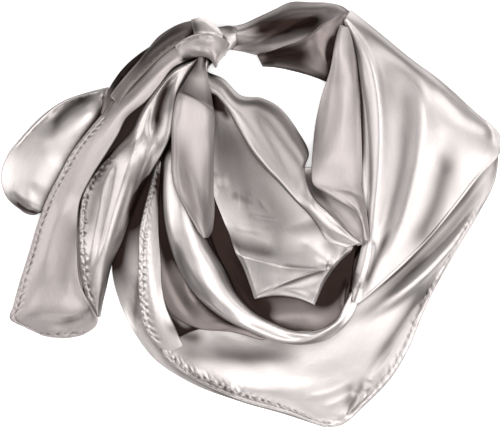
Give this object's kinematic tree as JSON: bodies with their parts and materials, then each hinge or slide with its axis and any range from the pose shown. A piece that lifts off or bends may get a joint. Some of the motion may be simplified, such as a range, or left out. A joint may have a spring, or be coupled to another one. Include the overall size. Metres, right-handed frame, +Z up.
{
  "type": "hijab",
  "caption": "Satin square hijab scarf, folded over its diagonal, knotted into a loop and laid flat, with two hemmed tails and a draped cowl.",
  "frame": {"origin": "centre of the bounding box on the surface that the scarf lies on", "axes": "+X runs from the tails' side to the right side of the loop, +Y towards the knot and the top of the loop, +Z up, out of the surface that it lies on"},
  "size_m": [0.5508, 0.4688, 0.0419],
  "materials": {
    "satin": "silver-taupe satin, glossy along its folds, with a fine thread grain"
  },
  "bodies": {
    "root": {"hidden_body": "satin", "hidden_band": "satin", "hidden_tails": "satin", "hidden_lobe": "satin", "outer_layer": "satin", "front_fall": "satin", "cowl_lining": "satin", "under_swag": "satin", "hem_strip": "satin", "swag": "satin", "top_band": "satin", "band_fold": "satin", "right_fall": "satin", "centre_panel": "satin", "flap_lining": "satin", "neck_edge": "satin", "inner_flap": "satin", "end_lobe": "satin", "tail_inner": "satin", "tail_front": "satin", "tail_band_under": "satin", "tail_band": "satin", "front_strip": "satin", "knot_back": "satin", "knot_top": "satin", "knot_wrap": "satin"}
  },
  "joints": []
}
